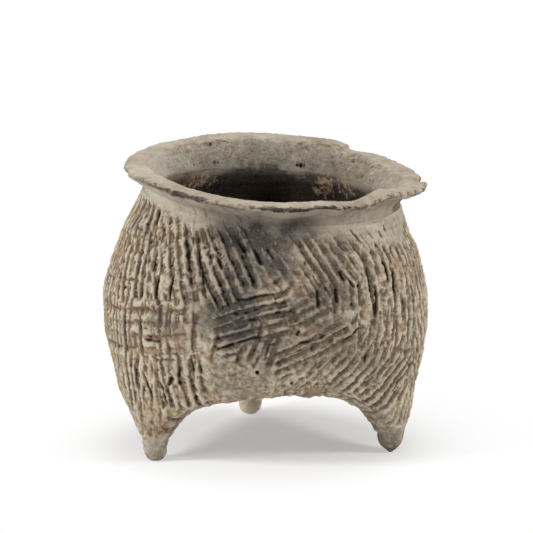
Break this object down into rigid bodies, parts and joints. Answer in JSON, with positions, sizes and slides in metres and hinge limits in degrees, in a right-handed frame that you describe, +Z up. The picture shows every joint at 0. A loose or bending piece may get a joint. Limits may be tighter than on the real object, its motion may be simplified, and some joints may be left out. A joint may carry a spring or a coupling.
{
  "type": "tripod pottery vessel",
  "caption": "Cooking pot of cord-marked pottery with a wide everted rim, a bulging body and hollow bag-shaped legs ending in solid nubs.",
  "frame": {"origin": "on the ground under the middle of the pot's outline", "axes": "+Z up; the front of the pot, with the wide arch between two legs, faces -Y; +X to the right seen from the front"},
  "size_m": [0.1594, 0.1606, 0.143],
  "materials": {
    "rim_clay": "matt, wiped",
    "neck_clay": "matt, wiped",
    "wall_clay": "matt, cord-marked",
    "pouch_clay": "matt, cord-marked",
    "foot_clay": "matt, worn",
    "pale_foot_clay": "matt, worn",
    "strip_clay": "matt, pressed"
  },
  "bodies": {
    "root": {"rim": "rim_clay", "neck_band": "neck_clay", "upper_wall": "wall_clay", "pouch_left": "pouch_clay", "pouch_right": "pouch_clay", "pouch_rear": "pouch_clay", "foot_tip_left": "foot_clay", "foot_tip_right": "foot_clay", "foot_tip_rear": "pale_foot_clay", "crotch_strip_left": "strip_clay", "crotch_strip_front": "strip_clay", "crotch_strip_right": "strip_clay", "crotch_pad": "strip_clay"}
  },
  "joints": []
}
